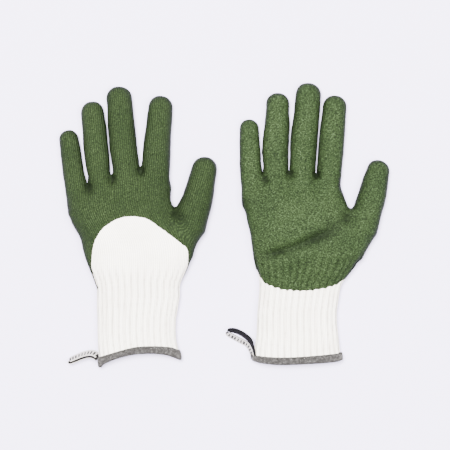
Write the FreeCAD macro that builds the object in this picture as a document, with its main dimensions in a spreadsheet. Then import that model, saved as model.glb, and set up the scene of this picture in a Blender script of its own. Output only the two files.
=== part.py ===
import FreeCAD, Part
import math
import os

# A pair of dipped work gloves lying side by side: the left-hand glove with the
# back of the hand up, the right-hand glove with the palm up. Millimetres,
# +Z up, +Y towards the fingertips, floor at z = 0.

V = FreeCAD.Vector
doc = FreeCAD.newDocument("work_gloves")
sheet = doc.addObject("Spreadsheet::Sheet", "Dims")
VALUES = {}


def dim(alias, value):
    """One driving dimension: its name in column A, its number in column B."""
    row = len(VALUES) + 1
    sheet.set("A%d" % row, alias)
    sheet.set("B%d" % row, repr(round(float(value), 4)))
    sheet.setAlias("B%d" % row, alias)
    VALUES[alias] = float(value)


def num(alias):
    return VALUES[alias]


# ---------------------------------------------------------------- dimensions
dim("coating_thick", 0.8)
dim("liner_thick", 1.0)
dim("skin_gap", 0.12)             # between a finger's dipped skin and its knitted lining
dim("cuff_thick", 1.6)
dim("elastic_thick", 0.5)
dim("elastic_band", 1.2)
dim("elastic_pitch", 6.0)
dim("hem_over", 0.2)
dim("hem_wrap", 0.7)
dim("hem_depth", 7.4)
dim("tack_thick", 0.5)
dim("joint_gap", 0.3)
dim("finger_flatness", 0.74)
dim("finger_root_share", 0.45)
dim("thumb_root_share", 0.27)
dim("little_root_share", 0.40)
dim("root_z", 11.5)
dim("little_root_z", 13.0)
dim("cuff_start_y", -64.0)

# moves everything so that the footprint is centred on the origin
SHIFT_X, SHIFT_Y = 0.26, 0.24

SIDES = ("left", "right")
FINGERS = ("index", "middle", "ring", "little", "thumb")
# base x, base y, turn (deg, anticlockwise), inset, length, the five widths from
# the web to the tip, knuckle hinge and middle hinge distances from the base
FINGER = {
    ("left", "little"): (-129.69, 13.35, 7.92, 24.0, 71.62, (19.9, 18.87, 18.51, 18.16, 17.62), 32.5, 50.0),
    ("left", "ring"): (-108.97, 21.25, 5.88, 24.0, 89.13, (21.9, 21.72, 21.54, 21.0, 20.29), 33.5, 58.0),
    ("left", "middle"): (-85.91, 27.91, 5.4, 24.0, 96.23, (24.8, 24.6, 24.03, 23.32, 21.89), 33.5, 60.0),
    ("left", "index"): (-63.53, 27.86, -4.3, 24.0, 87.55, (25.63, 24.92, 23.76, 22.52, 21.36), 33.5, 58.0),
    ("left", "thumb"): (-37.97, -22.04, -15.38, 34.0, 85.44, (30.26, 27.41, 25.81, 24.03, 22.07), 41.0, 62.0),
    ("right", "little"): (24.28, 20.25, 2.12, 24.0, 73.96, (19.3, 18.6, 18.42, 17.98, 17.27), 33.0, 51.0),
    ("right", "ring"): (43.55, 25.6, -2.69, 24.0, 91.98, (23.1, 23.0, 22.96, 22.25, 20.29), 33.5, 58.5),
    ("right", "middle"): (67.34, 25.64, -4.2, 24.0, 101.37, (23.5, 23.5, 23.4, 22.96, 21.72), 33.5, 60.0),
    ("right", "index"): (91.36, 25.66, -4.85, 24.0, 89.92, (22.9, 22.9, 22.78, 21.89, 21.0), 33.5, 58.0),
    ("right", "thumb"): (115.78, -24.7, -15.81, 34.0, 85.61, (26.9, 25.45, 24.74, 23.32, 21.18), 41.0, 62.0),
}
for side in SIDES:
    for finger in FINGERS:
        bx, by, turn, inset, length, widths, knuckle, middle = FINGER[(side, finger)]
        key = side + "_" + finger + "_"
        dim(key + "base_x", bx + SHIFT_X)
        dim(key + "base_y", by + SHIFT_Y)
        dim(key + "turn", turn)
        dim(key + "inset", inset)
        dim(key + "length", length)
        for n, w in enumerate(widths):
            dim(key + "width_" + "abcde"[n], w)
        dim(key + "knuckle_at", knuckle)
        dim(key + "bend_at", middle)

# hand and cuff: y, left edge, right edge and thickness of each cross-section,
# from the knuckles down to the opening
HAND = {
    "left": ((34.0, -141.0, -47.9, 12.0), (28.0, -142.0, -46.6, 19.0), (17.0, -139.7, -44.3, 24.5),
             (2.7, -137.0, -40.0, 26.0), (-13.3, -129.1, -30.5, 26.5), (-29.4, -125.5, -30.4, 24.5),
             (-46.0, -119.3, -35.8, 21.6), (-64.0, -115.6, -39.6, 19.4), (-77.0, -115.4, -41.3, 18.2),
             (-93.4, -115.2, -42.8, 17.2), (-107.0, -114.9, -41.3, 17.2), (-134.0, -114.7, -38.4, 18.0)),
    "right": ((33.0, 16.4, 104.6, 12.0), (27.0, 15.4, 105.6, 19.0), (16.0, 16.4, 108.6, 24.5),
              (2.7, 18.6, 113.5, 26.0), (-13.3, 21.8, 121.5, 26.5), (-29.4, 24.5, 119.4, 24.5),
              (-46.0, 27.4, 111.2, 21.6), (-64.0, 28.0, 103.2, 19.4), (-77.0, 27.0, 101.4, 18.2),
              (-93.4, 26.2, 101.4, 17.2), (-107.0, 24.0, 103.0, 17.2), (-134.0, 23.7, 104.9, 18.0)),
}
ROWS = 12
CUFF_ROWS = 7            # rows from this one on belong to the cuff
for side in SIDES:
    for n, (y, xl, xr, thick) in enumerate(HAND[side]):
        key = "%s_hand_%s_" % (side, "abcdefghijkl"[n])
        dim(key + "y", y + SHIFT_Y)
        dim(key + "left", xl + SHIFT_X)
        dim(key + "right", xr + SHIFT_X)
        dim(key + "thick", thick)

# dip edge on the palm side (a circle), window on the back (an oval with a
# straight lower part), hem line (circles)
EDGE = {
    "left": dict(dip_x=-75.0, dip_y=0.6, dip_r=64.6, win_x=-75.2, win_y=-32.9, win_rx=43.2, win_ry=40.5,
                 low_left=-117.5, low_right=-33.5, hem_x=-71.0, hem_y=-197.5, hem_r=83.0),
    "right": dict(dip_x=70.3, dip_y=5.7, dip_r=64.6, win_x=67.0, win_y=-30.9, win_rx=43.2, win_ry=40.5,
                  low_left=25.5, low_right=109.5, hem_x=64.0, hem_y=82.8, hem_r=207.0),
}
for side in SIDES:
    for name in sorted(EDGE[side]):
        move = SHIFT_Y if name in ("dip_y", "win_y", "hem_y") else 0.0
        if name in ("dip_x", "win_x", "low_left", "low_right", "hem_x"):
            move = SHIFT_X
        dim("%s_%s" % (side, name), EDGE[side][name] + move)

# hang loops: tape width, wall, length, and where each one leaves its hem
dim("loop_width", 8.0)
dim("loop_wall", 0.6)
dim("loop_height", 2.2)
for side, vals in (("left", dict(x=-117.6, y=-117.2, z=5.8, length=23.0, turn=191.0, lean=42.0)),
                   ("right", dict(x=21.6, y=-112.6, z=5.8, length=26.0, turn=140.0, lean=42.0))):
    for name in sorted(vals):
        dim("%s_loop_%s" % (side, name), vals[name] + {"x": SHIFT_X, "y": SHIFT_Y}.get(name, 0.0))

doc.recompute()


# ---------------------------------------------------------------- helpers
def put(obj, **exprs):
    for prop, expr in exprs.items():
        obj.setExpression(prop.replace("__", "."), expr)
    return obj


def ellipse(name, rx, rz, x, y, z):
    """A section across +Y: half width rx, half height rz, centred at x, y, z."""
    e = doc.addObject("Part::Ellipse", name)
    e.Placement = FreeCAD.Placement(V(0, 0, 0), FreeCAD.Rotation(V(1, 0, 0), 90))
    return put(e, MajorRadius=rx, MinorRadius=rz, Placement__Base__x=x, Placement__Base__y=y, Placement__Base__z=z)


def loft(name, sections):
    solid = doc.addObject("Part::Loft", name)
    solid.Sections = sections
    solid.Solid = True
    solid.Ruled = True
    return solid


def box(name, length, width, height, x, y, z):
    b = doc.addObject("Part::Box", name)
    return put(b, Length=length, Width=width, Height=height,
               Placement__Base__x=x, Placement__Base__y=y, Placement__Base__z=z)


def cylinder(name, radius, height, x, y, z):
    c = doc.addObject("Part::Cylinder", name)
    return put(c, Radius=radius, Height=height, Placement__Base__x=x, Placement__Base__y=y, Placement__Base__z=z)


def cut(name, base, tool):
    c = doc.addObject("Part::Cut", name)
    c.Base, c.Tool = base, tool
    return c


def common(name, base, tool):
    c = doc.addObject("Part::Common", name)
    c.Base, c.Tool = base, tool
    return c


def fuse(name, shapes):
    f = doc.addObject("Part::MultiFuse", name)
    f.Shapes = shapes
    return f


def place(obj, x, y, turn):
    """Turns a finger piece about its base and moves it to its place on the hand."""
    obj.Placement = FreeCAD.Placement(V(0, 0, 0), FreeCAD.Rotation(V(0, 0, 1), 10))
    return put(obj, Placement__Base__x=x, Placement__Base__y=y, Placement__Rotation__Angle=turn)


NODES = []


def node(obj, label):
    obj.Label = label
    NODES.append(obj)
    return obj


# wall offsets, as expressions: how far each skin lies inside the outer surface
SKINS = {"outer": "0", "mid": "Dims.coating_thick", "inner": "(Dims.coating_thick + Dims.liner_thick)"}
LINING = "(Dims.coating_thick + Dims.skin_gap)"


# ---------------------------------------------------------------- fingers
def section(tag, key, off, at, extra="0"):
    """A finger cross-section: at is a share of the free length, or a hinge."""
    w, y = at
    return ellipse(tag, "%s / 2 - %s" % (w, off), "%s / 2 * Dims.finger_flatness - %s" % (w, off),
                   "0", "%s + %s" % (y, extra), "%s / 2 * Dims.finger_flatness" % w)


def finger(side, name):
    key = "Dims.%s_%s_" % (side, name)
    tag = "%s_%s" % (side, name)
    half = "Dims.joint_gap / 2"
    where = (key + "base_x", key + "base_y", key + "turn * 1 deg")

    # lower and upper segment, coating and liner, each a tapered tube
    wa, wb, wc, wd, we = ["%swidth_%s" % (key, c) for c in "abcde"]
    cap = we + " * 0.46"

    def lower(label, off, grow):
        return loft(tag + label, [
            section(tag + label + "_a", key, off, (wb, key + "knuckle_at"), "%s - %s" % (half, grow)),
            section(tag + label + "_b", key, off, (wc, key + "bend_at"), "0 - %s + %s" % (half, grow))])

    def upper(label, off, grow):
        secs = [section(tag + label + "_a", key, off, (wc, key + "bend_at"), "%s - %s" % (half, grow)),
                section(tag + label + "_b", key, off, (wd, "%slength * 0.5 + %sbend_at * 0.5" % (key, key)), "0 - 3")]
        for n, along in enumerate((0.0, 0.5, 0.8, 0.95, 0.995)):
            shrink = round(math.sqrt(1.0 - along * along), 4)
            secs.append(ellipse("%s%s_tip%d" % (tag, label, n), "(%s / 2 - %s) * %r" % (we, off, shrink),
                                "(%s / 2 * Dims.finger_flatness - %s) * %r" % (we, off, shrink), "0",
                                "%slength - %s + (%s - %s) * %s" % (key, cap, cap, off, along),
                                "%s / 2 * Dims.finger_flatness" % we))
        return loft(tag + label, secs)

    for part, make in (("lower", lower), ("upper", upper)):
        for layer, out, ins in (("coating", SKINS["outer"], SKINS["mid"]), ("liner", LINING, SKINS["inner"])):
            label = "%s_%s_%s" % (tag, part, layer)
            tube = cut(label + "_piece", make("_%s_%s_o" % (part, layer), out, "0"),
                       make("_%s_%s_i" % (part, layer), ins, "1"))
            node(place(tube, *where), label)

    # the first part of each finger belongs to the hand
    stubs = {}
    for skin, off in SKINS.items():
        share = "Dims.%s_root_share" % (name if name in ("thumb", "little") else "finger")
        root = ellipse("%s_%s_root" % (tag, skin), "%s * %s - %s" % (wa, share, off),
                       "%s * %s * 0.62 - %s" % (wa, share, off), "0", "0",
                       "Dims.little_root_z" if name == "little" else "Dims.root_z")
        web = section("%s_%s_web" % (tag, skin), key, off, (wa, key + "inset"))
        edge = section("%s_%s_edge" % (tag, skin), key, off, (wb, key + "knuckle_at"), "0 - " + half)
        stubs[skin] = place(loft("%s_%s_stub" % (tag, skin), [root, web, edge]), *where)
    return stubs


# ---------------------------------------------------------------- hand and cuff
def hand_loft(side, name, first, last, off, trim_top=True, trim_end=False):
    """Hand or cuff between two cross-sections, offset inwards by one amount."""
    secs = []
    for n in range(first, last + 1):
        key = "Dims.%s_hand_%s_" % (side, "abcdefghijkl"[n])
        y = key + "y"
        if n == first and trim_top:
            y = "%sy - %s" % (key, off)
        if n == last and trim_end:
            y = "%sy - 1" % key
        secs.append(ellipse("%s_%s_%s" % (side, name, "abcdefghijkl"[n]),
                            "(%sright - %sleft) / 2 - %s" % (key, key, off), "%sthick / 2 - %s" % (key, off),
                            "(%sright + %sleft) / 2" % (key, key), y,
                            "%sthick / 2 + Dims.hem_over" % key))
    return loft("%s_%s_hand" % (side, name), secs)


def glove(side):
    d = "Dims.%s_" % side
    palm_down = side == "left"
    stubs = [finger(side, name) for name in FINGERS]

    full = {}
    for skin, off in SKINS.items():
        full[skin] = fuse("%s_%s_full" % (side, skin),
                          [hand_loft(side, skin, 0, CUFF_ROWS, off, True, skin == "inner")]
                          + [s[skin] for s in stubs])

    # coating: the dipped skin, kept above the dip edge and outside the window
    keep = fuse(side + "_dip_keep", [
        box(side + "_dip_upper", "260", "200", "80", d + "dip_x - 130", d + "dip_y - 34", "-20"),
        cylinder(side + "_dip_round", d + "dip_r", "80", d + "dip_x", d + "dip_y", "-20")])
    skin = common(side + "_coating_kept", cut(side + "_coating_all", full["outer"], full["mid"]), keep)
    oval = doc.addObject("Part::Ellipse", side + "_window_oval")
    put(oval, MajorRadius=d + "win_rx", MinorRadius=d + "win_ry",
        Placement__Base__x=d + "win_x", Placement__Base__y=d + "win_y")
    column = doc.addObject("Part::Extrusion", side + "_window_column")
    column.Base = oval
    column.DirMode = "Custom"
    column.Dir = V(0, 0, 1)
    column.LengthFwd = 60
    column.Solid = True
    low_z = "13.2" if palm_down else "13.2 - 60"
    put(oval, Placement__Base__z=low_z)
    low = box(side + "_window_low", "%slow_right - %slow_left" % (d, d), "60", "60", d + "low_left",
              d + "win_y - 63", low_z)
    window = fuse(side + "_window", [column, low])
    node(cut(side + "_palm_coating_piece", skin, window), side + "_palm_coating")

    # liner: the knitted glove under the coating, down to the wrist
    node(cut(side + "_palm_liner_piece", full["mid"], full["inner"]), side + "_palm_liner")

    # cuff: ribbed tube from the wrist to the opening
    last = ROWS - 1
    mid, deep = "Dims.coating_thick", "(Dims.coating_thick + Dims.cuff_thick)"
    wall = cut(side + "_cuff_wall", hand_loft(side, "cuff_out", CUFF_ROWS, last, mid, False),
               hand_loft(side, "cuff_in", CUFF_ROWS - 1, last, deep, False, True))
    hem_out = hand_loft(side, "hem_out", last - 1, last, "(0 - Dims.hem_over)", False)
    hem_in = hand_loft(side, "hem_in", last - 2, last, "(%s + Dims.hem_wrap)" % deep, False, True)
    tack_out = hand_loft(side, "tack_out", last - 1, last, "(0 - Dims.hem_over - Dims.tack_thick)", False)
    hem_core = "%shem_r" % d
    grow = "+" if palm_down else "-"
    line_in = cylinder(side + "_hem_line", hem_core, "80", d + "hem_x", d + "hem_y", "-20")
    line_cuff = cylinder(side + "_cuff_line", "%s %s 1.0" % (hem_core, grow), "80", d + "hem_x", d + "hem_y", "-20")
    line_top = cylinder(side + "_hem_top", "%s %s Dims.hem_depth" % (hem_core, grow), "80",
                        d + "hem_x", d + "hem_y", "-20")
    sleeve = cut(side + "_hem_wall", hem_out, hem_in)
    if palm_down:
        # the opening edge curves in: everything inside the circle is removed
        cuff = cut(side + "_cuff_piece", wall, line_cuff)
        hem_ring = cut(side + "_hem_ring", common(side + "_hem_sleeve", sleeve, line_top), line_in)
    else:
        # the opening edge curves out: everything outside the circle is removed
        cuff = common(side + "_cuff_piece", wall, line_cuff)
        hem_ring = cut(side + "_hem_ring", common(side + "_hem_sleeve", sleeve, line_in), line_top)
    node(cuff, side + "_knit_cuff")
    node(cut(side + "_hem_piece", hem_ring, cuff), side + "_cuff_hem")

    # elastic yarns laid inside the ribs, as separate rings
    soft = cut(side + "_elastic_wall", hand_loft(side, "elastic_out", CUFF_ROWS, last - 1, deep, False),
               hand_loft(side, "elastic_in", CUFF_ROWS - 1, last - 1, "(%s + Dims.elastic_thick)" % deep, False, True))
    bands = [box("%s_elastic_%d" % (side, n), "300", "Dims.elastic_band", "80", d + "dip_x - 150",
                 "Dims.cuff_start_y - 8 - %d * Dims.elastic_pitch" % n, "-20") for n in range(6)]
    node(common(side + "_elastic_rings", soft, fuse(side + "_elastic_bands", bands)), side + "_cuff_elastic")

    # bar tack that holds the hang loop on the hem
    patch = box(side + "_tack_box", "12", "Dims.loop_width", "5",
                d + "loop_x - 4", d + "loop_y - Dims.loop_width / 2", d + "loop_z")
    node(common(side + "_tack_piece", cut(side + "_tack_wall", tack_out, hem_out), patch), side + "_loop_tack")

    # hang loop: a flattened loop of tape, closed at the hem and round at its end
    run = d + "loop_length - Dims.loop_height / 2"
    flat = box(side + "_loop_flat", run, "Dims.loop_width", "Dims.loop_height", "0", "0", "0")
    end = cylinder(side + "_loop_end", "Dims.loop_height / 2", "Dims.loop_width", run,
                   "0", "Dims.loop_height / 2")
    hole = box(side + "_loop_hole", run + " - 1", "Dims.loop_width + 2", "Dims.loop_height - 2 * Dims.loop_wall",
               "1", "-1", "Dims.loop_wall")
    hole_end = cylinder(side + "_loop_hole_end", "Dims.loop_height / 2 - Dims.loop_wall",
                        "Dims.loop_width + 2", run, "-1", "Dims.loop_height / 2")
    for c in (end, hole_end):
        c.Placement = FreeCAD.Placement(V(0, 0, 0), FreeCAD.Rotation(V(1, 0, 0), -90))
        put(c, Placement__Base__x=run, Placement__Base__y="0" if c is end else "-1",
            Placement__Base__z="Dims.loop_height / 2")
    loop = cut(side + "_loop_piece", fuse(side + "_loop_full", [flat, end]),
               fuse(side + "_loop_gap", [hole, hole_end]))
    turn, lean = num(side + "_loop_turn"), num(side + "_loop_lean")
    spin = FreeCAD.Rotation(V(0, 0, 1), turn).multiply(FreeCAD.Rotation(V(1, 0, 0), lean))
    loop.Placement = FreeCAD.Placement(V(0, 0, 0), spin)
    put(loop, Placement__Base__x=d + "loop_x", Placement__Base__y=d + "loop_y", Placement__Base__z=d + "loop_z - 4.0")
    node(loop, side + "_loop_tape")


for side in SIDES:
    glove(side)
    doc.recompute()

doc.recompute()

# ---------------------------------------------------------------- checks and export
for obj in doc.Objects:
    bad = [s for s in obj.State if s in ("Invalid", "Error")]
    if bad:
        raise RuntimeError("%s is %s" % (obj.Label, bad))
os.makedirs("parts", exist_ok=True)
for obj in NODES:
    if obj.Shape.isNull() or not obj.Shape.isValid() or not obj.Shape.Solids:
        raise RuntimeError("bad shape: " + obj.Label)
    obj.Shape.exportStep("parts/%s.step" % obj.Label)
    b = obj.Shape.BoundBox
    print("%-34s solids %d faces %3d vol %9.1f  x %.1f..%.1f y %.1f..%.1f z %.2f..%.2f" % (
        obj.Label, len(obj.Shape.Solids), len(obj.Shape.Faces), obj.Shape.Volume,
        b.XMin, b.XMax, b.YMin, b.YMax, b.ZMin, b.ZMax))
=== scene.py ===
import math
import bpy
import numpy as np
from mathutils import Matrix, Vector


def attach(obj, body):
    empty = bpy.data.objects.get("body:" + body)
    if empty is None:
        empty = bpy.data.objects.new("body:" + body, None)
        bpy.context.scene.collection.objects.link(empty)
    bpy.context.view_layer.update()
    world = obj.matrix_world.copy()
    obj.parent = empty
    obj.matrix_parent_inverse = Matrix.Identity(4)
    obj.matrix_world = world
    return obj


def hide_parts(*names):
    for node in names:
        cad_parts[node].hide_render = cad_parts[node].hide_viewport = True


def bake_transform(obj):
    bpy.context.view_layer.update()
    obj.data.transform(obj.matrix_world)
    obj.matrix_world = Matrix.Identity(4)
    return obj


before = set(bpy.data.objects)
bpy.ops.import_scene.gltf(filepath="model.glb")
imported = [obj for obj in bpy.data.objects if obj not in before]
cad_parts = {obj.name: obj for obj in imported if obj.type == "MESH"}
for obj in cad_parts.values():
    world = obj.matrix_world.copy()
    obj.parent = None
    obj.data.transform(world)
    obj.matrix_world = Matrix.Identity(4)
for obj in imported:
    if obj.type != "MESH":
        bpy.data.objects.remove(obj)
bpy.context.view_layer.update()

MM = 0.001
f4 = np.float64


# ------------------------------------------------------------------ numbers
def X(p):
    return (np.asarray(p, f4) - 225.0) * 0.89 + 0.26


def Y(p):
    return (225.0 - np.asarray(p, f4)) * 0.89 + 0.24


FLAT = 0.74          # finger height over finger width
STEP = 0.8           # size of a surface cell, mm
COAT = 0.7           # latex skin, mm
LINER = 1.0
CUFF = 1.6
WRIST_Y = -64.0 + 0.24

# base x, base y, turn, inset, length, width near the web, knuckle hinge, middle hinge (as in the CAD source)
FINGER = {
    ("left", "little"): (-129.43, 13.59, 7.92, 24.0, 71.62, 19.9, 32.5, 50.0),
    ("left", "ring"): (-108.71, 21.49, 5.88, 24.0, 89.13, 21.9, 33.5, 58.0),
    ("left", "middle"): (-85.65, 28.15, 5.4, 24.0, 96.23, 24.8, 33.5, 60.0),
    ("left", "index"): (-63.27, 28.10, -4.3, 24.0, 87.55, 25.63, 33.5, 58.0),
    ("left", "thumb"): (-37.71, -21.80, -15.38, 34.0, 85.44, 30.26, 41.0, 62.0),
    ("right", "little"): (24.54, 20.49, 2.12, 24.0, 73.96, 19.3, 33.0, 51.0),
    ("right", "ring"): (43.81, 25.84, -2.69, 24.0, 91.98, 23.1, 33.5, 58.5),
    ("right", "middle"): (67.60, 25.88, -4.2, 24.0, 101.37, 23.5, 33.5, 60.0),
    ("right", "index"): (91.62, 25.90, -4.85, 24.0, 89.92, 22.9, 33.5, 58.0),
    ("right", "thumb"): (116.04, -24.46, -15.81, 34.0, 85.61, 26.9, 41.0, 62.0),
}
NAMES = ("index", "middle", "ring", "little", "thumb")
# tip, then points along each finger: x, y, width
STATIONS = {
    ("left", "little"): ((68, 130), ((68.7, 135.4, 16.7), (69.2, 140.8, 19.7), (70.3, 151.4, 20.4), (71.7, 162, 21),
                                     (73.3, 172.5, 21.6), (75.3, 183, 22.5))),
    ("left", "ring"): ((92, 101.5), ((92.7, 109, 19.9), (93, 116.4, 23.2), (93.7, 123.7, 23.8), (95, 138.4, 24.8),
                                     (97.9, 167.8, 24.2), (99.0, 175, 22.6))),
    ("left", "middle"): ((118.5, 86.5), ((118.5, 94, 22.3), (119.5, 101.8, 25.6), (120.8, 117.4, 26.7),
                                         (122, 133.1, 27.0), (123.6, 148.8, 27.6), (125.8, 164.4, 27.0))),
    ("left", "index"): ((161, 95.8), ((160.8, 102.7, 21), (160.3, 110, 24.5), (158.8, 124.4, 25.3),
                                      (157.7, 138.9, 26.7), (156.6, 153.3, 28), (155.8, 167.8, 29.1))),
    ("left", "thumb"): ((207.5, 157), ((206.6, 162.5, 19.6), (205.1, 167.5, 24.4), (202.7, 177.9, 27),
                                       (200.5, 188.3, 29.3), (197.8, 198.6, 30.8), (194, 208.5, 33))),
    ("right", "little"): ((250, 119.3), ((249.4, 124.6, 16), (249.5, 130.1, 19.4), (249.5, 141.2, 20.2),
                                         (250, 152.3, 21), (250.3, 163.4, 21.6), (251.3, 174.5, 22.5))),
    ("right", "ring"): ((279, 93.3), ((278.4, 100.4, 19.1), (277.7, 107.9, 23.1), (277, 122.8, 25.3),
                                      (275.6, 137.7, 26.0), (275.0, 152.6, 26.4), (275.8, 167.5, 24.8))),
    ("right", "middle"): ((309, 82.8), ((308.3, 90.7, 21.5), (308, 98.9, 25.2), (306.5, 115.4, 26.2),
                                        (304.8, 131.8, 27.0), (303.6, 148, 26.8), (302.8, 164.7, 25.6))),
    ("right", "index"): ((336.3, 95.8), ((335.5, 102.7, 20.5), (334.5, 109.9, 24), (333.1, 124.4, 25),
                                         (331.7, 138.8, 26.0), (330.6, 153, 25.4), (329.6, 167.7, 24.9))),
    ("right", "thumb"): ((380, 160.3), ((380.2, 165.7, 19.5), (378.3, 170.7, 23.5), (375.5, 181, 26),
                                        (373.3, 191.5, 27.8), (370.5, 201.8, 28.6), (367, 211.9, 29.5))),
}
# outline of the hand and cuff: y, left, right
ROWS = {
    "left": ((168, 66, 168), (178, 65.2, 171), (186, 65.4, 171.8), (192, 65.8, 171), (197, 66.8, 170.8), (204, 68.2, 172),
             (211, 69.6, 174), (216, 70.2, 177), (222, 72, 181), (228, 75, 185), (234, 78.2, 188.5), (240, 81, 191.5),
             (246, 82.6, 192.5), (252, 84, 192.6), (258, 86, 191.6), (264, 88, 189.4), (270, 90, 187), (276, 92.6, 184.4),
             (282, 94.8, 181.6), (288, 96.6, 180.2), (296, 97, 180.2), (306, 97, 178.4), (318, 97.6, 176), (330, 97.4, 175.6),
             (342, 98, 176.6), (354, 98.8, 179.6), (372, 100, 182)),
    "right": ((168, 243, 339), (178, 241.6, 342), (186, 242.2, 343), (192, 243.4, 343.8), (198, 244, 344.6), (206, 244.6, 347),
              (212, 245.6, 350), (218, 246.6, 354), (224, 247.8, 358), (230, 249.4, 361), (236, 250.4, 363), (242, 251, 364),
              (248, 251.8, 363.6), (254, 252.6, 361), (260, 253.6, 358), (266, 255, 355), (272, 257, 351.4), (278, 258.2, 347),
              (284, 258.6, 342.6), (290, 258.8, 340.4), (300, 258.4, 338.4), (312, 257.4, 336.6), (324, 256.8, 337),
              (336, 256.4, 338.4), (348, 254.6, 339.6), (354, 254, 340.8), (372, 253, 343)),
}
# thickness of the hand along y (mm): y, thickness, roundness exponent
THICK = ((-140, 16.0, 2.7), (-118, 15.6, 2.7), (-95, 15.4, 2.7), (-75, 16.4, 2.6), (-60, 18.4, 2.45), (-45, 21.0, 2.3),
         (-28, 24.4, 2.2), (-10, 26.4, 2.15), (8, 25.6, 2.2), (20, 23.5, 2.3), (32, 19.5, 2.3), (50, 16.0, 2.3))
# white window on the back of the left-hand glove
WINDOW = ((97.2, 288), (94.6, 281), (92.4, 273), (91.6, 266), (92.4, 257), (94, 247), (97.4, 238), (104.5, 228), (115.5, 220.6),
          (125, 217.2), (134, 216.5), (143, 217.6), (150, 220), (158.5, 226), (171, 235), (181.5, 243.3), (187.4, 248.3),
          (189, 255), (188.6, 264), (188.4, 270), (186.0, 277))
PALM_EDGE = ((256.0, 272), (259.4, 278), (262.5, 282), (270.5, 286.7), (280, 289.5), (295, 291.2), (307, 291.2), (319, 289.7),
             (331, 287), (341, 283), (349, 277.4), (354, 271))
HEM = {
    "left": dict(top=((96, 357.6), (98.4, 356.8), (110, 353.4), (122.5, 349.8), (138.6, 346.3), (158, 345.6), (172.5, 346.7),
                      (178.8, 348.8), (183, 350.6)),
                 low=((96, 368.6), (100.2, 366.2), (104.6, 363.4), (113.6, 359.5), (122.5, 356.8), (131.4, 354.8),
                      (140.4, 353.7), (153.8, 353.4), (165.4, 354.6), (172.5, 356.6), (178, 358.8), (184, 361))),
    "right": dict(top=((250, 354.4), (253.6, 355), (266, 356.2), (278, 356.8), (295, 356.5), (319, 354.8), (337, 353.2),
                       (342, 352.0), (346, 351)),
                  low=((250, 360), (254.8, 361.2), (261, 362.9), (278, 364.5), (295, 364.2), (319, 363), (336, 361.5),
                       (341.5, 360), (346, 359))),
}
RIBS = 30


# ------------------------------------------------------------------ glove shape
def smin(a, b, k):
    return np.minimum(a, b) - np.maximum(k - np.abs(a - b), 0.0) ** 2 / (4.0 * k)


def smooth(t):
    t = np.clip(t, 0.0, 1.0)
    return t * t * (3.0 - 2.0 * t)


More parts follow.
